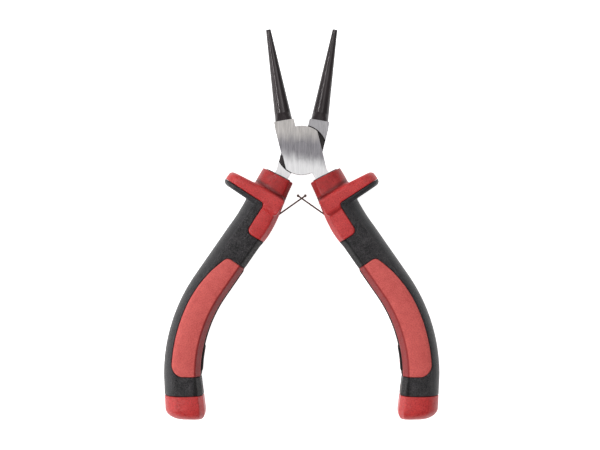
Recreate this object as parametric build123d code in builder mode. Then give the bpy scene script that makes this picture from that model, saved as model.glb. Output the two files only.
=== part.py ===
from build123d import *
import os
from math import acos, cos, degrees, radians, sin

# Round nose pliers with a lap joint, lying flat. +Y runs to the nose tips, +Z to the front,
# and the origin is on the pivot axis in the ground rear face of the joint. Sizes in mm and degrees.

# Joint
half_open = 14.0            # the springs hold each half this far open from closed
joint_thickness = 7.0       # between the two ground faces
joint_half_width = 5.87     # from the pivot to the straight side of a lap
jaw_half_width = 6.17       # the same on the side of the jaw
lap_radius = 7.3            # round end of each half-thickness lap
lap_clearance = 0.3         # between that round end and the shoulder that it turns in
lap_face_gap = 0.04         # between the two laps
jaw_height = 9.9            # from the pivot to the nose root, on the nose's axis
jaw_side_taper = 0.2        # the outer side comes in by this much beside the nose root
jaw_taper_height = 2.4      # over this height
jaw_clearance = 0.06        # from the centre line to a closed jaw
ground_edge = 0.12          # broken edge round the ground faces

# Pivot rivet, riveted over and ground flush
rivet_diameter = 4.0
rivet_head_diameter = 5.2
rivet_head_depth = 0.6
rivet_clearance = 0.03

# Noses
nose_length = 27.7
nose_root_diameter = 5.2
nose_tip_diameter = 1.5
nose_inset = 0.38           # from the jaw's inner side to the nose root
nose_tip_gap = 0.18         # from the centre line to the nose's tip, with the pliers closed
nose_blend_corner = 1.6
nose_blend = 2.4            # height of the forged blend from the square jaw to the cone

# Handle, drawn in its own frame: across towards the other handle, along up to the joint
grip_lean = 20.8            # of the straight part, with the pliers closed
grip_top = (-6.64, -18.71)  # that frame's origin, from the pivot, with the pliers closed
shank_length = 29.0
bow_radius = 46.5
bow_turn = 34.8
heel_length = 13.45
heel_flare = 1.1            # the heel grows wider by this much towards its end
heel_shift = 1.15           # and its middle line moves this far towards the palm
grip_width = 11.0
grip_thickness = 11.7
grip_crown = 0.35           # rise of the front and rear faces over their middle
inner_bevel = 1.35          # width of the bevel beside the palm-side edge, seen from the front
palm_fill = 0.15            # the palm side stands out by this much past half the width
inner_flat = 6.0            # height of the palm-side wall between the two bevels
back_round = 3.5            # width of the rounded back, seen from the front
end_round = 3.3             # rounding of the handle's lower end
end_lean = 0.45             # share by which that rounding is larger on the back
end_steps = (1.0, 0.5, 0.15, 0.0)  # depths of its sections, as shares of end_round
end_fullness = 0.98         # 1 would bring the last section in by the whole of end_round
edge_soften = 0.5           # rounding of the palm-side edges
clear = 3.0                 # cutting shapes reach this far past what they cut

# Collar and thumb guard
collar_mouth = (-2.05, 9.7) # middle of the mouth, in the handle's frame
mouth_tilt = 7.3            # the mouth lies squarer to the tools' middle than the handle
mouth_width = 9.85
mouth_thickness = 10.6
collar_waist = (-0.7, 1.0)  # middle of the narrower section under the guard
waist_width = 10.9
waist_thickness = 11.0
strap_bulge = 0.3           # the handle's palm side bulges by this much
strap_bulge_place = -6.0    # here, under the strap
collar_blend = 11.0         # the collar blends into the straight handle here, down the handle
guard_reach = 14.3          # from the handle's middle line to the tip
guard_inner = 4.15          # where the guard's raised band ends on the palm side
guard_top = (2.45, 5.3)     # top of the guard at its tip and at its inner end
guard_bottom = (-1.65, -1.2)  # its underside at the same two places
guard_thickness = 13.0      # from the front of the raised band to the rear
guard_corner = 4.6          # rounded outline, seen from the end
guard_top_round = 1.5
guard_bottom_round = 1.5
guard_inner_lean = 0.55     # the band's palm-side end slopes by this much

# Two-shot moulding: a black first shot with a spine under the red second shot
skin = 0.95                 # thickness of the red shot over the spine
mouth_proud = 0.3           # the spine shows past the red mouth by this much
strap_inner = -0.03         # left edge of the red strap below the guard
strap_lean = 0.39           # and this much further left at the guard
strap_length = 9.35         # down from the guard
strap_foot = (0.7, -0.25)   # its lower edge lies higher by this at the palm side and at its corner
strap_corner = 1.7
strap_split_corner = 1.0
guard_split = (-0.2, 0.35)  # red above, black below, at the guard's tip and beside the strap
guard_skin = 1.4            # thickness of the shots over the black tongue inside the guard
guard_tongue = 1.3          # the tongue reaches this far above and below the middle of the guard
inlay_margin = 2.6          # black left between the back of the handle and the inlay
inlay_peak = (-0.2, -18.8)  # upper end of the inlay's outer edge
inlay_leaf = 9.0            # its outer edge runs with the handle from this far down the bow
inlay_heel = 0.6            # the inlay ends this far below the bow
inlay_corner = 4.0          # rounding at the inlay's lower left
inlay_peak_round = 1.8
seam_proud = 0.45           # the black seam between the inlays stands out on the palm side
seam_start = -19.6          # upper end of that raised seam
pad_proud = 0.75            # and further still at a pad
pad_turns = (22.5, 33.5)    # where the pad starts and ends round the bow
pad_round = 0.5             # at the pad's two ends
inlay_seam = 3.2            # black left between the front and the rear inlay, on the palm side
cap_height = 7.15           # of the end cap, along the handle
cap_sag = 0.15              # its upper edge lies lower by this at its two sides
parting = 0.06              # open joint line round each red piece

# Tang inside the handle
tang_thickness = 4.6        # inside the handle
tang_outer = -2.0           # its edges, across the handle
tang_inner = 2.8
tang_step = 8.0             # full thickness down to here, just inside the collar's mouth
tang_neck = (-3.2, 1.1)     # its outer and inner edges there
tang_straight = 2.0         # below here its edges run along the handle
tang_shoulder = (-1.2, -6.5)  # with the pliers closed
tang_overlap = 1.0          # the thinner tang starts this far inside the thicker one
tang_tail = 3.0             # the tang ends this far below the bow

# Leaf springs
leaf_thickness = 0.45
leaf_width = 4.0
leaf_root = -9.6            # lower end, along the handle
leaf_bend = -5.25           # where it bends away from the tang
leaf_bend_angle = 19.9
leaf_bend_radius = 2.0
leaf_arm = 14.8             # length of the straight arm
leaf_tip_radius = 0.42      # rolled edge at its tip
window_width = 2.3          # opening in the left leaf
window_start = 12.1         # along the arm
window_length = 2.0
tongue_width = 1.8          # narrow end of the right leaf
tongue_start = 11.0         # along the arm
spring_rivet_diameter = 1.5
spring_rivet_head = 2.6
spring_rivet_head_height = 0.5
spring_rivet_edge = 0.2     # rounding of its head
spring_rivet_grip = 3.0     # depth of its shank in the tang
spring_rivet_place = -7.2   # along the handle
spring_slot_clearance = 0.35  # space for the leaf inside the handle
spring_slot_reach = 6.0     # length of the arm that lies in that space

mid_z = joint_thickness / 2
shoulder_radius = lap_radius + lap_clearance

# The rear half and its handle are drawn closed, in a plane that is turned open
closed_plane = Plane.XY.rotated((0, 0, -half_open))
middle_plane = closed_plane.offset(mid_z)


def turned(point, angle):
    """The point turned about the origin by angle degrees."""
    c, s = cos(radians(angle)), sin(radians(angle))
    return (point[0] * c - point[1] * s, point[0] * s + point[1] * c)


def on_closed(across, along):
    """A point of the handle's frame, in the closed frame."""
    x, y = turned((across, along), -grip_lean)
    return (x + grip_top[0], y + grip_top[1])


handle_plane = Plane(middle_plane.location * Location((*grip_top, 0), (0, 0, -grip_lean)))


def section_plane(across, along, tilt=0.0):
    """Plane across the handle at that point, with local y to the front."""
    centre = handle_plane.from_local_coords(Vector(across, along, 0))
    side = handle_plane.from_local_coords(Vector(*turned((1, 0), tilt), 0)) - handle_plane.origin
    return Plane(origin=centre, x_dir=side, z_dir=side.cross(handle_plane.z_dir))


def handle_line(across, start=0.0, tail=0.0):
    """Line parallel to the handle's middle line, from the start down past the bow."""
    with BuildLine() as line:
        shank = Line((across, start), (across, -shank_length))
        bow = JernArc(shank @ 1, (0, -1), bow_radius - across, bow_turn)
        if tail:
            PolarLine(bow @ 1, tail, direction=bow % 1)
    return line.wires()[0]


def grip_section(width, thickness):
    """Section of the handle: crowned faces, two palm-side bevels and a rounded back."""
    edge = thickness / 2 - grip_crown
    crown_left = -width / 2 + back_round
    palm = width / 2 + palm_fill
    crown_right = palm - inner_bevel * width / grip_width
    middle = (crown_left + crown_right) / 2
    wall = inner_flat / 2 * thickness / grip_thickness
    with BuildSketch() as section:
        with BuildLine():
            ThreePointArc((crown_left, edge), (middle, thickness / 2), (crown_right, edge))
            Line((crown_right, edge), (palm, wall))
            Line((palm, wall), (palm, -wall))
            Line((palm, -wall), (crown_right, -edge))
            ThreePointArc((crown_right, -edge), (middle, -thickness / 2), (crown_left, -edge))
            ThreePointArc((crown_left, -edge), (-width / 2, 0), (crown_left, edge))
        make_face()
        fillet(section.vertices().filter_by(lambda v: v.X > middle), edge_soften)
    return section.sketch


def handle_body(inset, mouth_lift, end_lift, rounded_end):
    """The handle without its guard, every outer surface set in by inset."""
    middle_line = handle_line(0.0, start=-collar_blend)
    path = Wire([handle_plane.location * edge for edge in middle_line.edges()])
    bow_end = middle_line @ 1
    slim = 2 * inset

    def heel_section(run, extra=0.0):
        flare = heel_flare * run / heel_length
        side = turned((heel_shift * run / heel_length + end_lean * extra, -run), bow_turn)
        with BuildSketch(section_plane(bow_end.X + side[0], bow_end.Y + side[1], bow_turn)) as heel:
            add(grip_section(grip_width + flare - slim - 2 * extra, grip_thickness - slim - 2 * extra))
        return heel.sketch

    with BuildPart() as body:
        with BuildSketch(section_plane(0, -collar_blend)):
            add(grip_section(grip_width - slim, grip_thickness - slim))
        sweep(path=path)
        rounding = end_round if rounded_end else 0.0
        add(heel_section(0.0))
        add(heel_section(heel_length - end_lift - rounding))
        loft()
        if rounded_end:
            for depth in end_steps:
                shrink = end_round * (1 - sin(acos(end_fullness * (1 - depth))))
                add(heel_section(heel_length - end_round * depth, shrink))
            loft()
        with BuildSketch(section_plane(0, -collar_blend)):
            add(grip_section(grip_width - slim, grip_thickness - slim))
        with BuildSketch(section_plane(strap_bulge / 2, strap_bulge_place)):
            add(grip_section(grip_width + strap_bulge - slim, grip_thickness - slim))
        with BuildSketch(section_plane(*collar_waist)):
            add(grip_section(waist_width - slim, waist_thickness - slim))
        with BuildSketch(section_plane(collar_mouth[0], collar_mouth[1] + mouth_lift, mouth_tilt)):
            add(grip_section(mouth_width - slim, mouth_thickness - slim))
        loft()
    return body.part


def guard_body():
    """Thumb guard: a paddle out of the back that runs across both faces as a raised band."""
    tip_top, inner_top = guard_top
    tip_low, inner_low = guard_bottom
    up = Axis(handle_plane.origin, handle_plane.y_dir)
    with BuildPart() as guard:
        with BuildSketch(section_plane(guard_inner, 0)):
            RectangleRounded(2 * (guard_inner + guard_reach), guard_thickness, guard_corner)
        extrude(amount=guard_thickness, both=True)
        with BuildSketch(handle_plane):
            Polygon(
                (-guard_reach - clear, tip_top),
                (guard_inner, inner_top),
                (guard_inner + guard_inner_lean, inner_low),
                (-guard_reach - clear, tip_low),
                align=None,
            )
        extrude(amount=guard_thickness, both=True, mode=Mode.INTERSECT)
        fillet(guard.faces().sort_by(up)[-1].edges(), guard_top_round)
        fillet(guard.faces().sort_by(up)[0].edges(), guard_bottom_round)
    return guard.part


def guard_core():
    """Black tongue inside the guard, under both shots."""
    with BuildPart() as core:
        with BuildSketch(section_plane((guard_inner - guard_reach) / 2, 0)):
            RectangleRounded(
                guard_inner + guard_reach - 2 * guard_skin,
                guard_thickness - 2 * guard_skin,
                guard_corner - guard_skin,
            )
        extrude(amount=guard_tongue, both=True)
    return core.part


def collar_region():
    """Front view of what is red at the collar: mouth, guard and the strap below it."""
    far = guard_reach + clear
    tip_split, strap_split = guard_split
    palm_foot, corner_foot = strap_foot
    with BuildSketch() as region:
        with BuildLine():
            FilletPolyline(
                (far, palm_foot - strap_length),
                (strap_inner, corner_foot - strap_length),
                (strap_inner - strap_lean, strap_split),
                (-far, tip_split),
                radius=(strap_corner, strap_split_corner),
            )
            Polyline((-far, tip_split), (-far, far), (far, far), (far, palm_foot - strap_length))
        make_face()
    return region.sketch


def below_bow(across, run):
    """A point of the handle's frame, across from the middle line and run below the bow."""
    bow_end = handle_line(0.0) @ 1
    x, y = turned((across, -run), bow_turn)
    return (bow_end.X + x, bow_end.Y + y)


def inlay_region():
    """Front view of an inlay: a long leaf that narrows to a peak at its upper end."""
    back = -grip_width / 2 + inlay_margin
    far = grip_width / 2 + clear
    radius = bow_radius - back
    start = degrees(inlay_leaf / bow_radius)
    turn = bow_turn - degrees((inlay_corner - inlay_heel) / radius) - start
    with BuildSketch() as region:
        with BuildLine():
            top = Line((far, inlay_peak[1]), inlay_peak)
            bow = CenterArc((bow_radius, -shank_length), radius, 180 + start, turn)
            TangentArc(bow @ 0, inlay_peak, tangent=-(bow % 0))
            corner = TangentArc(bow @ 1, below_bow(back + inlay_corner, inlay_heel), tangent=bow % 1)
            foot = Line(corner @ 1, below_bow(far, inlay_heel))
            Polyline(foot @ 1, (far + bow_radius, inlay_peak[1]), top @ 0)
        make_face()
        fillet(region.vertices().sort_by_distance(inlay_peak)[0], inlay_peak_round)
    return region.sketch


def cap_region():
    """Front view of the end cap, whose upper edge sags in the middle."""
    wide = grip_width
    rise = heel_length - cap_height
    with BuildSketch() as region:
        with BuildLine():
            ThreePointArc(
                below_bow(-wide / 2, rise - cap_sag), below_bow(0, rise), below_bow(wide / 2, rise - cap_sag)
            )
            Polyline(
                below_bow(wide / 2, rise - cap_sag),
                below_bow(wide, rise - 2 * cap_sag),
                below_bow(wide, heel_length + clear),
                below_bow(-wide, heel_length + clear),
                below_bow(-wide, rise - 2 * cap_sag),
                below_bow(-wide / 2, rise - cap_sag),
            )
        make_face()
    return region.sketch


def handle_band(outer, inner, start, tail):
    """Face between two lines that run along the handle."""
    with BuildSketch() as band:
        with BuildLine():
            left = handle_line(outer, start, tail)
            right = handle_line(inner, start, tail)
            add(left)
            add(right)
            Line(left @ 0, right @ 0)
            Line(left @ 1, right @ 1)
        make_face()
    return band.sketch


def pad_band():
    """Face of the pad on the black seam, from one turn of the bow to another."""
    centre = (bow_radius, -shank_length)
    first, last = pad_turns
    outer, inner = grip_width / 2 - skin, grip_width / 2 + pad_proud
    with BuildSketch() as band:
        with BuildLine():
            under = CenterArc(centre, bow_radius - outer, 180 + first, last - first)
            over = CenterArc(centre, bow_radius - inner, 180 + first, last - first)
            Line(under @ 0, over @ 0)
            Line(under @ 1, over @ 1)
        make_face()
        fillet(band.vertices().sort_by_distance(centre)[:2], pad_round)
    return band.sketch


def forging():
    """One steel half: right nose, full-thickness jaw, half-thickness lap and left tang."""
    jaw_foot = (jaw_clearance, 0)
    side = joint_half_width
    root_x = jaw_clearance + nose_inset + nose_root_diameter / 2
    tip_x = nose_tip_gap + nose_tip_diameter / 2
    root_slope = (root_x - tip_x) / nose_length
    jaw_inner = (jaw_clearance, jaw_height - root_slope * (root_x - jaw_clearance))
    jaw_outer_x = jaw_half_width - jaw_side_taper
    jaw_outer = (jaw_outer_x, jaw_height + root_slope * (jaw_outer_x - root_x))
    root = Vector(root_x, jaw_height, 0)
    axis = Vector(tip_x - root_x, nose_length, 0)
    with BuildPart() as half:
        with BuildSketch(closed_plane) as outline:
            Circle(lap_radius)
            Rectangle(2 * side, 4 * lap_radius, mode=Mode.INTERSECT)
            Polygon(
                jaw_foot,
                jaw_inner,
                jaw_outer,
                (jaw_half_width, jaw_outer[1] - jaw_taper_height),
                (jaw_half_width, 0),
                align=None,
            )
            Polygon(
                (-side, 0),
                (-side, -lap_radius),
                on_closed(tang_neck[0], tang_step),
                on_closed(tang_neck[1], tang_step),
                tang_shoulder,
                align=None,
            )
        extrude(amount=joint_thickness)
        with BuildSketch(closed_plane.offset(mid_z - lap_face_gap / 2)):
            Circle(shoulder_radius)
        extrude(amount=joint_thickness, mode=Mode.SUBTRACT)
        # Tang inside the handle, thinner than the joint
        with BuildSketch(handle_plane):
            Polygon(
                (tang_neck[0], tang_step + tang_overlap),
                (tang_neck[1], tang_step + tang_overlap),
                (tang_inner, tang_straight),
                (tang_outer, tang_straight),
                align=None,
            )
            add(handle_band(tang_outer, tang_inner, tang_straight, tang_tail))
        extrude(amount=tang_thickness / 2, both=True)
        # Nose
        nose_root = middle_plane.from_local_coords(root)
        nose_dir = middle_plane.from_local_coords(root + axis) - nose_root
        nose_plane = Plane(origin=nose_root, x_dir=closed_plane.z_dir, z_dir=nose_dir)
        with Locations(nose_plane.location):
            Cone(
                nose_root_diameter / 2,
                nose_tip_diameter / 2,
                axis.length,
                align=(Align.CENTER, Align.CENTER, Align.MIN),
            )
        shrink = (nose_root_diameter - nose_tip_diameter) * nose_blend / axis.length
        with BuildSketch(nose_plane):
            RectangleRounded(joint_thickness - 2 * ground_edge, nose_root_diameter, nose_blend_corner)
        with BuildSketch(nose_plane.offset(nose_blend)):
            Circle((nose_root_diameter - shrink) / 2)
        loft()
    return half.part


def leaf_line(reach):
    """Middle line of a leaf spring: a root flat on the tang, then an arm bent away from it."""
    x = tang_inner + leaf_thickness / 2
    with BuildLine() as line:
        root = Line((x, leaf_root), (x, leaf_bend))
        bend = JernArc(root @ 1, (0, 1), leaf_bend_radius, -leaf_bend_angle)
        PolarLine(bend @ 1, reach, direction=bend % 1)
    return line.line


def leaf_plane(run):
    """Plane on the arm of the leaf at that distance from its bend: x along it, y to the front."""
    arm = leaf_line(run)
    ahead = arm % 1
    place = handle_plane.from_local_coords(arm @ 1)
    along = handle_plane.from_local_coords(ahead) - handle_plane.origin
    return Plane(origin=place, x_dir=along, z_dir=along.cross(handle_plane.z_dir))


def leaf_blank():
    """A leaf spring before its window or tongue is cut, with a rolled tip."""
    with BuildPart() as blank:
        with BuildSketch(handle_plane):
            trace(leaf_line(leaf_arm), leaf_thickness)
            with Locations(leaf_line(leaf_arm) @ 1):
                Circle(leaf_tip_radius)
        extrude(amount=leaf_width / 2, both=True)
        with BuildSketch(spring_rivet_plane):
            Circle(spring_rivet_diameter / 2)
        extrude(amount=leaf_thickness, both=True, mode=Mode.SUBTRACT)
    return blank.part


def flipped(part):
    """The part turned over about the Y axis through the middle of the joint."""
    return part.rotate(Axis((0, 0, mid_z), (0, 1, 0)), 180)


def named(part, label):
    part.label = label
    export_step(part, f"parts/{label}.step")


spring_rivet_plane = Plane(
    origin=handle_plane.from_local_coords(Vector(tang_inner, spring_rivet_place, 0)),
    x_dir=handle_plane.y_dir,
    z_dir=handle_plane.x_dir,
)

os.makedirs("parts", exist_ok=True)

# The whole moulding outside, and the black spine inside it
with BuildPart() as handle_outside:
    add(handle_body(0.0, 0.0, 0.0, True))
    add(guard_body())

with BuildPart() as spine:
    add(handle_body(skin, mouth_proud, 2 * skin, False))
    add(guard_core())

# Steel halves: the same forging, turned over, with its own rivet bore
with BuildPart() as rivet_pin:
    Cylinder(rivet_diameter / 2, joint_thickness, align=(Align.CENTER, Align.CENTER, Align.MIN))
    Cone(
        rivet_head_diameter / 2,
        rivet_diameter / 2,
        rivet_head_depth,
        align=(Align.CENTER, Align.CENTER, Align.MIN),
    )
    with Locations((0, 0, joint_thickness)):
        Cone(
            rivet_diameter / 2,
            rivet_head_diameter / 2,
            rivet_head_depth,
            align=(Align.CENTER, Align.CENTER, Align.MAX),
        )

with BuildPart() as rear_half:
    add(forging())
    add(rivet_pin.part, mode=Mode.SUBTRACT)
    with BuildSketch(spring_rivet_plane):
        Circle(spring_rivet_diameter / 2)
    extrude(amount=-spring_rivet_grip, mode=Mode.SUBTRACT)

with BuildPart() as front_half:
    add(flipped(forging()))
    Cylinder(
        rivet_diameter / 2 + rivet_clearance,
        joint_thickness,
        align=(Align.CENTER, Align.CENTER, Align.MIN),
        mode=Mode.SUBTRACT,
    )
    with Locations((0, 0, joint_thickness)):
        Cone(
            rivet_diameter / 2 + rivet_clearance,
            rivet_head_diameter / 2 + rivet_clearance,
            rivet_head_depth + rivet_clearance,
            align=(Align.CENTER, Align.CENTER, Align.MAX),
            mode=Mode.SUBTRACT,
        )
    with BuildSketch(spring_rivet_plane) as bore:
        Circle(spring_rivet_diameter / 2)
    add(
        flipped(extrude(bore.sketch, amount=-spring_rivet_grip, mode=Mode.PRIVATE)),
        mode=Mode.SUBTRACT,
    )

with BuildPart() as spring_rivet:
    with BuildSketch(spring_rivet_plane):
        Circle(spring_rivet_diameter / 2)
    extrude(amount=-spring_rivet_grip)
    with BuildSketch(spring_rivet_plane):
        Circle(spring_rivet_diameter / 2)
    extrude(amount=leaf_thickness)
    with BuildSketch(spring_rivet_plane.offset(leaf_thickness)):
        Circle(spring_rivet_head / 2)
    extrude(amount=spring_rivet_head_height)
    outward = Axis(spring_rivet_plane.origin, spring_rivet_plane.z_dir)
    fillet(spring_rivet.edges().sort_by(outward)[-1], spring_rivet_edge)

# Leaf springs: the left one has a window, and the tongue of the right one goes through it
with BuildPart() as slotted_leaf:
    add(leaf_blank())
    with BuildSketch(leaf_plane(window_start + window_length / 2)):
        Rectangle(window_length, window_width)
    extrude(amount=2 * leaf_thickness, both=True, mode=Mode.SUBTRACT)

with BuildPart() as tongue_leaf:
    add(leaf_blank())
    shoulder_length = leaf_arm - tongue_start + leaf_tip_radius + clear
    with BuildSketch(leaf_plane(tongue_start + shoulder_length / 2)):
        Rectangle(shoulder_length, leaf_width + clear)
        Rectangle(shoulder_length, tongue_width, mode=Mode.SUBTRACT)
    extrude(amount=3 * leaf_tip_radius, both=True, mode=Mode.SUBTRACT)

with BuildPart() as leaf_slot:
    with BuildSketch(handle_plane):
        trace(leaf_line(spring_slot_reach), leaf_thickness + 2 * spring_slot_clearance)
    extrude(amount=leaf_width / 2 + spring_slot_clearance / 2, both=True)

# Red second shot
with BuildPart() as collar:
    add(handle_outside.part)
    with BuildSketch(handle_plane):
        add(collar_region())
        offset(amount=-parting)
    extrude(amount=guard_thickness, both=True, mode=Mode.INTERSECT)
    add(spine.part, mode=Mode.SUBTRACT)
    add(rear_half.part, mode=Mode.SUBTRACT)
    add(leaf_slot.part, mode=Mode.SUBTRACT)

with BuildPart() as front_inlay:
    add(handle_outside.part)
    with BuildSketch(handle_plane.offset(inlay_seam / 2)):
        add(inlay_region())
        offset(amount=-parting)
    extrude(amount=guard_thickness, mode=Mode.INTERSECT)
    add(spine.part, mode=Mode.SUBTRACT)

with BuildPart() as end_cap:
    add(handle_outside.part)
    with BuildSketch(handle_plane):
        add(cap_region())
        offset(amount=-parting)
    extrude(amount=guard_thickness, both=True, mode=Mode.INTERSECT)
    add(spine.part, mode=Mode.SUBTRACT)

# Black first shot
with BuildPart() as grip:
    add(handle_outside.part)
    with BuildSketch(handle_plane):
        add(collar_region())
        add(cap_region())
    extrude(amount=guard_thickness, both=True, mode=Mode.SUBTRACT)
    with BuildSketch(handle_plane.offset(inlay_seam / 2)):
        add(inlay_region())
    extrude(amount=guard_thickness, mode=Mode.SUBTRACT)
    with BuildSketch(handle_plane.offset(-inlay_seam / 2)):
        add(inlay_region())
    extrude(amount=-guard_thickness, mode=Mode.SUBTRACT)
    add(spine.part)
    with BuildSketch(handle_plane):
        add(handle_band(grip_width / 2 - skin, grip_width / 2 + seam_proud, seam_start, 0.0))
        add(pad_band())
    extrude(amount=inlay_seam / 2 - parting, both=True)
    add(rear_half.part, mode=Mode.SUBTRACT)
    add(spring_rivet.part, mode=Mode.SUBTRACT)
    add(leaf_slot.part, mode=Mode.SUBTRACT)

named(rear_half.part, "rear_half")
named(front_half.part, "front_half")
named(rivet_pin.part, "pivot_rivet")
named(slotted_leaf.part, "left_leaf_spring")
named(flipped(tongue_leaf.part), "right_leaf_spring")
left_pieces = {
    "spring_rivet": spring_rivet.part,
    "grip": grip.part,
    "collar": collar.part,
    "end_cap": end_cap.part,
}
for name, piece in left_pieces.items():
    named(piece, f"left_{name}")
    named(flipped(piece), f"right_{name}")
rear_inlay = front_inlay.part.mirror(Plane.XY.offset(mid_z))
named(front_inlay.part, "left_front_inlay")
named(rear_inlay, "left_rear_inlay")
named(flipped(rear_inlay), "right_front_inlay")
named(flipped(front_inlay.part), "right_rear_inlay")
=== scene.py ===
from math import cos, radians, sin

import bmesh
import bpy
import numpy as np
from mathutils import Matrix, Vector


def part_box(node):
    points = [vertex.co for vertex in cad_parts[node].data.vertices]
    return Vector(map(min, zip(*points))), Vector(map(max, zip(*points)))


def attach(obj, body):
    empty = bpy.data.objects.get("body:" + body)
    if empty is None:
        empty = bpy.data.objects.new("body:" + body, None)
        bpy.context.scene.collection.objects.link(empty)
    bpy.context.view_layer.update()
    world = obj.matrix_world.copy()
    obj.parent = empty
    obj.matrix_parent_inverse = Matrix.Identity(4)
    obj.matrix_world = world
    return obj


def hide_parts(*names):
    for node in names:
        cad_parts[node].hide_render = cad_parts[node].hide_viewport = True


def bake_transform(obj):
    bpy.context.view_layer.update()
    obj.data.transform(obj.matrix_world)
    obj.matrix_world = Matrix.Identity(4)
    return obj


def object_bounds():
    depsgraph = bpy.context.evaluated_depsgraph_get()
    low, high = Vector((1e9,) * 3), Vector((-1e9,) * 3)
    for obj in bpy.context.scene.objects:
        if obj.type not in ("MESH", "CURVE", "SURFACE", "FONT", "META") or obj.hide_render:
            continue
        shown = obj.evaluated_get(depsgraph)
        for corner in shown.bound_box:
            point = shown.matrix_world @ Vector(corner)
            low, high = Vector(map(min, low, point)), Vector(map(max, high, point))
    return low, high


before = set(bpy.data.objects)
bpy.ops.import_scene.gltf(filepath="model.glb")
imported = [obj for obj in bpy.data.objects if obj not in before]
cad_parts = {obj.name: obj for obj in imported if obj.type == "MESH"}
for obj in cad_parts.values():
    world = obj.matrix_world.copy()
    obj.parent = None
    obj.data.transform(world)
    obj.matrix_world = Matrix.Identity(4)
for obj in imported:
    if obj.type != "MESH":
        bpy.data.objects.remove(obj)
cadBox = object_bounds()
scene = bpy.context.scene
mm = 0.001
print("frame loaded:", len(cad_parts), "nodes")


class Link:  # an output socket: arithmetic on it adds Math nodes
    def __init__(self, finish, socket):
        self.finish, self.socket = finish, socket

    def math(self, operation, *values):
        return self.finish.node("Math", {"operation": operation}, dict(enumerate(values)))

    def __add__(self, other):
        return self.math("ADD", self, other)

    def __radd__(self, other):
        return self.math("ADD", other, self)

    def __sub__(self, other):
        return self.math("SUBTRACT", self, other)

    def __rsub__(self, other):
        return self.math("SUBTRACT", other, self)

    def __mul__(self, other):
        return self.math("MULTIPLY", self, other)

    def __rmul__(self, other):
        return self.math("MULTIPLY", other, self)

    def __pow__(self, other):
        return self.math("POWER", self, other)

    def __abs__(self):
        return self.math("ABSOLUTE", self)

    def most(self, other):
        return self.math("MAXIMUM", self, other)

    def step(self, low, high):  # 0 at low, 1 at high, smooth between; low may be the larger
        settings = {"interpolation_type": "SMOOTHSTEP"}
        if low < high:
            return self.finish.node("MapRange", settings, {"Value": self, 1: low, 2: high})
        return 1 - self.finish.node("MapRange", settings, {"Value": self, 1: high, 2: low})


class Finish:  # a material and the nodes that make it
    def __init__(self, name):
        self.material = bpy.data.materials.new(name)
        self.material.use_nodes = True
        self.tree = self.material.node_tree
        self.shader = self.tree.nodes["Principled BSDF"]

    def feed(self, target, value):
        if isinstance(value, Link):
            self.tree.links.new(value.socket, target)
        elif hasattr(target.default_value, "__len__") and len(target.default_value) == 4:
            target.default_value = (*value, 1) if len(value) == 3 else value
        else:
            target.default_value = value

    def fill(self, made, sockets):
        for key, value in sockets.items():
            self.feed(made.inputs[key], value)

    def node(self, kind, settings, sockets, output=0):  # settings first, then values or links
        made = self.tree.nodes.new("ShaderNode" + kind)
        for key, value in settings.items():
            setattr(made, key, value)
        self.fill(made, sockets)
        return Link(self, made.outputs[output])

    def set(self, sockets):
        self.fill(self.shader, sockets)

    def blend(self, factor, first, second):  # first where the factor is 0
        return self.node("Mix", {"data_type": "RGBA"}, {0: factor, 6: first, 7: second}, 2)

    def place(self, scale=(1, 1, 1), turn=0.0):  # object coordinates in millimetres
        coords = self.node("TexCoord", {}, {}, "Object")
        sockets = {"Vector": coords, "Rotation": (0, 0, turn), "Scale": [s / mm for s in scale]}
        return self.node("Mapping", {}, sockets)

    def split(self, vector):
        made = self.node("SeparateXYZ", {}, {"Vector": vector})
        return [Link(self, out) for out in made.socket.node.outputs]

    def noise(self, vector, scale, detail, roughness=0.5):
        sockets = {"Vector": vector, "Scale": scale, "Detail": detail, "Roughness": roughness}
        return self.node("TexNoise", {}, sockets)

    def stretched(self, scale, detail, roughness=0.5):  # noise with its own scale each way
        return self.noise(self.place(scale), 1.0, detail, roughness)

    def bump(self, height, strength, depth):  # depth in millimetres
        sockets = {"Height": height, "Strength": strength, "Distance": depth * mm}
        return self.node("Bump", {}, sockets)


# The handle's own frame, as the moulded pieces' patterns follow it
handle = {
    "halfOpen": 14.0,        # degrees each half stands open
    "lean": 20.8,            # of the straight part, with the pliers closed
    "top": (-6.64, -18.71),  # where across and along are 0, closed
    "shank": 29.0,           # straight length below the top
    "bowRadius": 46.5,
    "bowTurn": 34.8,
}


def turned(x, y, angle):
    return x * cos(angle) - y * sin(angle), x * sin(angle) + y * cos(angle)


def handlePlace(co, side):  # across and along the left or right handle
    x, y = co[:, 0] / mm * (1 if side == "left" else -1), co[:, 1] / mm
    x, y = turned(x, y, radians(handle["halfOpen"]))
    x, y = turned(x - handle["top"][0], y - handle["top"][1], radians(handle["lean"]))
    below = -handle["shank"] - y
    angle = np.arctan2(below, handle["bowRadius"] - x)
    angle = np.clip(angle, 0, radians(handle["bowTurn"]))
    centreX, centreY = handle["bowRadius"], -handle["shank"]
    outX, outY = -np.cos(angle), -np.sin(angle)
    bowAcross = handle["bowRadius"] - ((x - centreX) * outX + (y - centreY) * outY)
    tail = (x - centreX) * -outY + (y - centreY) * outX
    across = np.where(below > 0, bowAcross, x)
    along = np.where(below > 0, -handle["shank"] - angle * handle["bowRadius"] - np.abs(tail), y)
    return across, along


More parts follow.
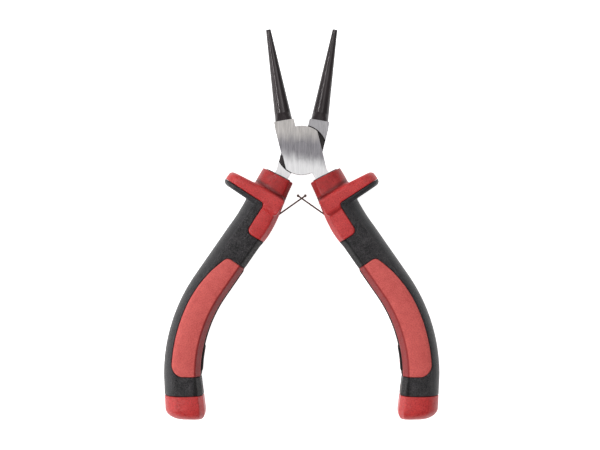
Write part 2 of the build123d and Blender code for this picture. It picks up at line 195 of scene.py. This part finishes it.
steel = {  # a pair of colours is the darkest and the lightest
    "jawHeight": 9.9,             # where the dark nose starts, closed, at noseAxis
    "noseAxis": 3.04,
    "noseSlope": 0.076,           # the jaw's upper edge lies square to the nose
    "noseEdge": (-0.06, 0.1),
    "flat": (0.4, 0.6),           # how far a face looks up or down
    "floorAbove": (2.6, 2.9),     # heights of the lap's recess floor
    "floorBelow": (4.4, 4.1),
    "wallInside": (7.9, 7.8),     # radius of the recess's wall
    "sideInside": (5.65, 5.55),   # the joint's own sides are ground
    "lines": ((2.2, 0.1, 0.6), 3.0, 0.65),  # scale, detail, roughness; long along the tool
    "hairs": ((7.0, 0.3, 1.5), 4.0, 0.75),
    "patches": ((0.5, 0.2, 0.3), 3.0, 0.6),
    "cloud": ((0.25, 0.12, 0.3), 4.0, 0.65),
    "gritStretch": (1.0, 0.45, 1.0),
    "grit": (2.6, 4.0, 0.7),
    "patchReach": 4.0,            # how far patches move the bands' edges
    "bandSlope": 0.2,             # the painted dark band lies askew
    "paintedDarkBandStart": (-5.0, -0.2),    # along the tool, where the painted dark band comes in
    "topStart": (1.0, 6.0),       # and where the jaw's painted top tone takes over
    "linesShare": 0.7,
    "hairsShare": 1.6,
    # painted reflection tones: each half's tone over the jaw, a dark band across the joint,
    # lighter steel below it
    "frontPaintedTop": ((0.28, 0.266, 0.256), (0.76, 0.725, 0.705)),
    "rearPaintedTop": ((0.20, 0.195, 0.203), (0.60, 0.585, 0.605)),
    "paintedDarkBand": ((0.135, 0.13, 0.142), (0.42, 0.404, 0.43)),
    "paintedBright": ((0.70, 0.69, 0.70), (1.0, 0.995, 1.0)),
    "forged": ((0.014, 0.010, 0.011), (0.050, 0.040, 0.042)),
    "roughness": 0.36,
    "hairRoughness": 0.14,
    "oxideSmoother": 0.12,
    "oxideLessMetal": 0.7,
    "bump": (0.4, 0.03),          # strength, depth
}


def groundSteel(turn, name, top):  # top: darkest and lightest colour over the jaw, the painted reflection tone of that half
    ground = Finish(name)
    x, y, z = ground.split(ground.place(turn=turn))
    worldX, worldY = ground.split(ground.place())[:2]
    normalZ = ground.split(ground.node("NewGeometry", {}, {}, "Normal"))[2]
    flat = abs(normalZ).step(*steel["flat"])
    radial = (x * x + y * y) ** 0.5
    edge = y - steel["jawHeight"] - (abs(x) - steel["noseAxis"]) * steel["noseSlope"]
    nose = edge.step(*steel["noseEdge"])
    recess = z.step(*steel["floorAbove"]) * z.step(*steel["floorBelow"]) * flat
    # the recess's round wall gets the forged colour: partly its unground metal, partly painted
    # shade of the gap at the lap's edge
    wall = radial.step(*steel["wallInside"]) * (1 - flat) * abs(x).step(*steel["sideInside"])
    oxideAndGapShade = nose.most(recess).most(wall)
    lines = ground.stretched(*steel["lines"])
    hairs = ground.stretched(*steel["hairs"])
    patches = ground.stretched(*steel["patches"])
    cloud = ground.stretched(*steel["cloud"])
    # painted reflection: a duller, bluer band is painted across the middle of the joint, lighter
    # steel below it, and each half's own tone over the jaw
    blotch = (patches - 0.5) * steel["patchReach"]
    paintedDarkBand = (worldY + worldX * steel["bandSlope"] + blotch).step(*steel["paintedDarkBandStart"])
    paintedTopMask = (worldY + blotch).step(*steel["topStart"])
    streak = (lines - 0.5) * steel["linesShare"] + (hairs - 0.5) * steel["hairsShare"] + 0.5
    paintedLowerTones = ground.blend(
        paintedDarkBand,
        ground.blend(streak, *steel["paintedBright"]),
        ground.blend(streak, *steel["paintedDarkBand"]),
    )
    paintedReflectionTones = ground.blend(paintedTopMask, paintedLowerTones, ground.blend(streak, *top))
    forged = ground.blend(cloud, *steel["forged"])
    grit = ground.noise(ground.place(steel["gritStretch"]), *steel["grit"])
    height = (lines * 0.5 + hairs * 0.5) * (1 - oxideAndGapShade) + grit * 0.5 * oxideAndGapShade
    rough = steel["roughness"] + steel["hairRoughness"] * (hairs - 0.5)
    ground.set({
        "Base Color": ground.blend(oxideAndGapShade, paintedReflectionTones, forged),
        "Metallic": 1.0 - oxideAndGapShade * steel["oxideLessMetal"],
        "Roughness": rough - oxideAndGapShade * steel["oxideSmoother"],
        "Normal": ground.bump(height, *steel["bump"]),
    })
    return ground.material


spring = {
    "cloud": (0.9, 3.0),          # scale, detail
    "lines": ((0.3, 0.3, 6.0), 2.0),
    "colours": ((0.06, 0.036, 0.03), (0.13, 0.09, 0.075)),
    "metallic": 0.8,
    "roughness": 0.34,
    "lineRoughness": 0.1,
    "bump": (0.3, 0.01),          # strength, depth
}


def springSteel():
    sprung = Finish("springSteel")
    cloud = sprung.noise(sprung.place(), *spring["cloud"])
    lines = sprung.stretched(*spring["lines"])
    sprung.set({
        "Base Color": sprung.blend(cloud, *spring["colours"]),
        "Metallic": spring["metallic"],
        "Roughness": spring["roughness"] + spring["lineRoughness"] * lines,
        "Normal": sprung.bump(lines, *spring["bump"]),
    })
    return sprung.material


def mouldedGrain(finish, facts):  # place on the handle, and the fine grain and the shade there
    across, along = finish.split(finish.node("UVMap", {"uv_map": "handle"}, {}))[:2]
    z = finish.split(finish.place())[2]
    vector = finish.node("CombineXYZ", {}, {0: across, 1: along, 2: z})
    cloud = finish.noise(vector, *facts["cloud"])
    fine = finish.noise(vector, *facts["fine"])
    mixed = cloud * facts["cloudShare"] + fine * (1 - facts["cloudShare"])
    return {
        "across": across,
        "along": along,
        "vector": vector,
        "fine": fine,
        "shade": mixed.step(*facts["shadeEnds"]),
    }


grip = {
    "cloud": (0.5, 4.0, 0.65),    # scale, detail, roughness
    "fine": (3.2, 4.0, 0.7),
    "cloudShare": 0.3,
    "shadeEnds": (0.36, 0.64),
    "grained": (-3.1, -2.4),      # across the handle, from the smooth back
    "bevel": (3.6, 4.1),          # across the handle: the palm-side bevel, painted in shade
    "cells": ((1.15, 0.2), (2.4, 0.14)),  # scale, width of the grooves between them
    "front": ((0.004, 0.004, 0.005), (0.075, 0.070, 0.074)),
    "back": ((0.010, 0.009, 0.011), (0.030, 0.028, 0.031)),
    # painted shade on the palm-side bevel, which turns away from the lamps
    "side": ((0.003, 0.003, 0.003), (0.012, 0.011, 0.012)),
    "roughness": 0.36,
    "grainedRougher": 0.06,
    "fineRoughness": 0.2,
    "specular": 0.34,
    "bump": (1.0, 0.24),          # strength, depth
}


def blackGrip():
    black = Finish("blackGrip")
    grain = mouldedGrain(black, grip)
    fine, shade = grain["fine"], grain["shade"]
    grained = grain["across"].step(*grip["grained"])
    bevel = grain["across"].step(*grip["bevel"])
    coarse, small = (
        black.node(
            "TexVoronoi",
            {"feature": "DISTANCE_TO_EDGE"},
            {"Vector": grain["vector"], "Scale": scale, "Randomness": 1.0},
        ).step(0.0, groove)
        for scale, groove in grip["cells"]
    )
    leather = coarse * 0.5 + small * 0.5
    front = black.blend(shade, *grip["front"])
    back = black.blend(shade, *grip["back"])
    # painted shade: a darker copy for the palm-side bevel
    side = black.blend(shade, *grip["side"])
    rough = grip["roughness"] + grained * grip["grainedRougher"]
    black.set({
        "Base Color": black.blend(bevel, black.blend(grained, back, front), side),
        "Roughness": rough + grip["fineRoughness"] * (fine - 0.5),
        "Specular IOR Level": grip["specular"],
        "Normal": black.bump(fine * 0.5 + leather * grained, *grip["bump"]),
    })
    return black.material


satin = {
    "cloud": (0.45, 4.0, 0.6),    # scale, detail, roughness
    "fine": (2.6, 4.0, 0.7),
    "cloudShare": 0.25,
    "shadeEnds": (0.3, 0.7),
    "mouth": (4.0, 5.4),          # along the handle: the block round the tang is painted a deeper red, as painted shade
    "paintedCreaseBelow": (3.9, 4.8),    # and painted shade, darkest where it meets the band
    "paintedCreaseAbove": (6.0, 5.0),
    "paintedCreaseShare": 0.8,
    "body": ((0.36, 0.016, 0.018), (0.66, 0.048, 0.046)),
    # painted shade: a darker copy of the body's red for the mouth block
    "paintedBlockShade": ((0.24, 0.007, 0.008), (0.48, 0.018, 0.018)),
    # painted shade in the crease under the mouth block
    "paintedCrease": (0.10, 0.004, 0.004),
    "roughness": 0.30,
    "fineRoughness": 0.2,
    "specular": 0.4,
    "bump": (0.8, 0.18),          # strength, depth
}


def redSatin():
    red = Finish("redSatin")
    grain = mouldedGrain(red, satin)
    along, shade = grain["along"], grain["shade"]
    # painted shade: the mouth block is painted darker than the body
    mouth = along.step(*satin["mouth"])
    # painted shade gathered in the crease where the block meets the band
    paintedCrease = along.step(*satin["paintedCreaseBelow"]) * along.step(*satin["paintedCreaseAbove"])
    body = red.blend(shade, *satin["body"])
    paintedBlockShade = red.blend(shade, *satin["paintedBlockShade"])
    plain = red.blend(mouth, body, paintedBlockShade)
    red.set({
        "Base Color": red.blend(paintedCrease * satin["paintedCreaseShare"], plain, satin["paintedCrease"]),
        "Roughness": satin["roughness"] + satin["fineRoughness"] * (grain["fine"] - 0.5),
        "Specular IOR Level": satin["specular"],
        "Normal": red.bump(grain["fine"], *satin["bump"]),
    })
    return red.material


inlay = {
    "cloud": (0.5, 4.0, 0.6),     # scale, detail, roughness
    "fine": (3.0, 4.0, 0.7),
    "cloudShare": 0.25,
    "shadeEnds": (0.3, 0.7),
    "bevel": (3.7, 4.1),          # across the handle: the palm-side bevel, painted in shade
    "face": ((0.50, 0.062, 0.056), (0.74, 0.135, 0.12)),
    # painted shade on the palm-side bevel, which turns away from the lamps
    "side": ((0.20, 0.009, 0.010), (0.36, 0.018, 0.018)),
    "roughness": 0.56,
    "bevelSmoother": 0.1,
    "fineRoughness": 0.16,
    "specular": 0.36,
    "bump": (0.9, 0.2),           # strength, depth
}


def redInlay():
    matt = Finish("redInlay")
    grain = mouldedGrain(matt, inlay)
    fine, shade = grain["fine"], grain["shade"]
    bevel = grain["across"].step(*inlay["bevel"])
    face = matt.blend(shade, *inlay["face"])
    # painted shade: a darker copy for the palm-side bevel
    side = matt.blend(shade, *inlay["side"])
    rough = inlay["roughness"] - bevel * inlay["bevelSmoother"]
    matt.set({
        "Base Color": matt.blend(bevel, face, side),
        "Roughness": rough + inlay["fineRoughness"] * (fine - 0.5),
        "Specular IOR Level": inlay["specular"],
        "Normal": matt.bump(fine, *inlay["bump"]),
    })
    return matt.material


finishes = {
    "grip": blackGrip(),
    "collar": redSatin(),
    "inlay": redInlay(),
    "spring": springSteel(),
    "rear": groundSteel(radians(handle["halfOpen"]), "groundSteelRear", steel["rearPaintedTop"]),
    "front": groundSteel(-radians(handle["halfOpen"]), "groundSteelFront", steel["frontPaintedTop"]),
}
print("finishes made")


moulding = {
    "weldWithin": 0.0005,
    "factor": 0.5,           # of the way to its neighbours' mean, for a vertex in one pass
    "bodies": {"left": "rear_body", "right": "front_body"},
    "parts": {
        "grip": {"finish": "grip", "slot": "black_grip", "voxel": 0.25, "passes": 3},
        "collar": {"finish": "collar", "slot": "red_collar", "voxel": 0.2, "passes": 5},
        "end_cap": {"finish": "collar", "slot": "red_collar", "voxel": 0.2, "passes": 4},
        "front_inlay": {"finish": "inlay", "slot": "red_inlay", "voxel": 0.18, "passes": 4},
        "rear_inlay": {"finish": "inlay", "slot": "red_inlay", "voxel": 0.18, "passes": 4},
    },
}


def mergedCopy(node, name):  # a CAD node's mesh, welded into one surface
    piece = bpy.data.objects.new(name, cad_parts[node].data.copy())
    scene.collection.objects.link(piece)
    bm = bmesh.new()
    bm.from_mesh(piece.data)
    bmesh.ops.remove_doubles(bm, verts=bm.verts, dist=moulding["weldWithin"] * mm)
    bm.to_mesh(piece.data)
    bm.free()
    return piece


def dress(mesh, finish):
    mesh.materials.clear()
    mesh.materials.append(finishes[finish])


def remeshed(piece, voxel):
    remesh = piece.modifiers.new("remesh", "REMESH")
    remesh.mode = "VOXEL"
    remesh.voxel_size = voxel * mm
    bpy.context.view_layer.update()
    evaluated = piece.evaluated_get(bpy.context.evaluated_depsgraph_get())
    real = bpy.data.meshes.new_from_object(evaluated)
    piece.modifiers.clear()
    piece.data = real


def smoothed(piece, passes):
    bm = bmesh.new()
    bm.from_mesh(piece.data)
    axes = {"use_axis_x": True, "use_axis_y": True, "use_axis_z": True}
    for unused in range(passes):
        bmesh.ops.smooth_vert(bm, verts=bm.verts, factor=moulding["factor"], **axes)
    bm.to_mesh(piece.data)
    bm.free()


def handleMap(piece, side):  # the UV map that the moulded finishes read
    places = np.zeros(len(piece.data.vertices) * 3, np.float32)
    piece.data.vertices.foreach_get("co", places)
    across, along = handlePlace(places.reshape(-1, 3).astype(float), side)
    corners = np.zeros(len(piece.data.loops), np.int32)
    piece.data.loops.foreach_get("vertex_index", corners)
    layer = piece.data.uv_layers.new(name="handle")
    uv = np.column_stack((across, along))[corners].astype(np.float32)
    layer.data.foreach_set("uv", uv.ravel())


def moulded(side, part):  # the CAD node with the soft edges of a moulding
    facts = moulding["parts"][part]
    node = f"{side}_{part}"
    piece = mergedCopy(node, f"{node}_moulded")
    remeshed(piece, facts["voxel"])
    smoothed(piece, facts["passes"])
    handleMap(piece, side)
    dress(piece.data, facts["finish"])
    piece.data.polygons.foreach_set("use_smooth", [True] * len(piece.data.polygons))
    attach(piece, moulding["bodies"][side])
    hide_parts(node)
    print("moulded", node, len(piece.data.polygons), "faces")


for side in ("left", "right"):
    for part in moulding["parts"]:
        moulded(side, part)


leaf = {
    "step": 0.6,             # between the cuts that let the leaf bend
    "cutWithin": 0.001,
}


def leafSpring(side):  # a leaf between its own handle and the crossing, cut across at even steps
    node = f"{side}_leaf_spring"
    piece = mergedCopy(node, f"{node}_bent")
    low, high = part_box(node)
    bm = bmesh.new()
    bm.from_mesh(piece.data)
    cuts = int((high.x - low.x) / (leaf["step"] * mm))
    plane = {"plane_no": (1, 0, 0), "dist": leaf["cutWithin"] * mm}
    for cut in range(1, cuts):
        x = low.x + (high.x - low.x) * cut / cuts
        everything = bm.verts[:] + bm.edges[:] + bm.faces[:]
        bmesh.ops.bisect_plane(bm, geom=everything, plane_co=(x, 0, 0), **plane)
    bm.to_mesh(piece.data)
    bm.free()
    dress(piece.data, "spring")
    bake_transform(piece)
    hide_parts(node)
    print("leaf spring", node, len(piece.data.polygons), "faces")


for side in ("left", "right"):
    leafSpring(side)

plainNodes = {  # these keep the CAD's own mesh
    "rear_half": "rear",
    "front_half": "front",
    "pivot_rivet": "rear",
    "left_spring_rivet": "spring",
    "right_spring_rivet": "spring",
}
for node, finish in plainNodes.items():
    dress(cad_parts[node].data, finish)
print("steel dressed")


stage = {
    "camera": (-0.5, -22.3, 423.5),  # it looks straight down
    "lens": 84.0,
    "sensor": 36.0,
    "clipStart": 10.0,
    "floorHalf": 1500.0,
    "floorColour": (0.9, 0.9, 0.9),
    "floorRoughness": 0.7,
    "floorGlow": 0.95,
    "floorGlowInReflections": 0.55,
    "skyStrength": 0.24,
}

lamps = {  # metres: place, aim, the side that lies level, the other side; then watts
    "leftStrip": ((-0.62, 0.0, 0.74), (0, -0.02, 0), 1.3, 0.03, 6.0),
    "softbox": ((0, -0.02, 1.2), (0, -0.02, 0), 0.6, 0.6, 0.68),
    "overhead": ((0.2, 0.5, 0.95), (0, -0.02, 0), 0.8, 0.5, 3.2),
    "leftEdge": ((-0.9, -0.1, 0.3), (0, -0.03, 0), 0.9, 0.12, 2.2),
}


def areaLight(name, place, aim, level, other, watts):
    data = bpy.data.lights.new(name, "AREA")
    data.shape = "RECTANGLE"
    data.size, data.size_y = level, other
    data.energy = watts
    lamp = bpy.data.objects.new(name, data)
    lamp.location = place
    lamp.rotation_euler = (Vector(aim) - Vector(place)).to_track_quat("-Z", "Y").to_euler()
    scene.collection.objects.link(lamp)


def layFloor():
    floorData = bpy.data.meshes.new("floor")
    floor = bpy.data.objects.new("floor", floorData)
    scene.collection.objects.link(floor)
    bm = bmesh.new()
    bmesh.ops.create_grid(bm, x_segments=1, y_segments=1, size=stage["floorHalf"] * mm)
    bmesh.ops.translate(bm, verts=bm.verts, vec=(0, 0, cadBox[0][2]))
    bm.to_mesh(floorData)
    bm.free()
    pale = Finish("paleFloor")
    seen = pale.node("LightPath", {}, {}, "Is Camera Ray")
    dimmed = (stage["floorGlowInReflections"],) * 3
    pale.set({
        "Base Color": stage["floorColour"],
        "Roughness": stage["floorRoughness"],
        "Emission Color": pale.blend(seen, dimmed, (stage["floorGlow"],) * 3),
        "Emission Strength": 1.0,
    })
    floorData.materials.append(pale.material)


def hangSky():  # as bright as the floor for the camera, dimmer as a light
    world = bpy.data.worlds.new("studio")
    scene.world = world
    world.use_nodes = True
    sky = world.node_tree.nodes["Background"]
    seen = world.node_tree.nodes.new("ShaderNodeLightPath")
    tone = world.node_tree.nodes.new("ShaderNodeMapRange")
    tone.inputs["To Min"].default_value = stage["skyStrength"]
    tone.inputs["To Max"].default_value = stage["floorGlow"]
    world.node_tree.links.new(seen.outputs["Is Camera Ray"], tone.inputs["Value"])
    world.node_tree.links.new(tone.outputs["Result"], sky.inputs["Strength"])
    sky.inputs["Color"].default_value = (1, 1, 1, 1)


def placeCamera():
    camera = bpy.data.objects.new("camera", bpy.data.cameras.new("camera"))
    camera.data.lens = stage["lens"]
    camera.data.sensor_width = stage["sensor"]
    camera.data.clip_start = stage["clipStart"] * mm
    camera.location = [part * mm for part in stage["camera"]]
    scene.collection.objects.link(camera)
    scene.camera = camera


layFloor()
hangSky()
for name, facts in lamps.items():
    areaLight(name, *facts)
placeCamera()
scene.view_settings.view_transform = "Standard"
print("studio set")
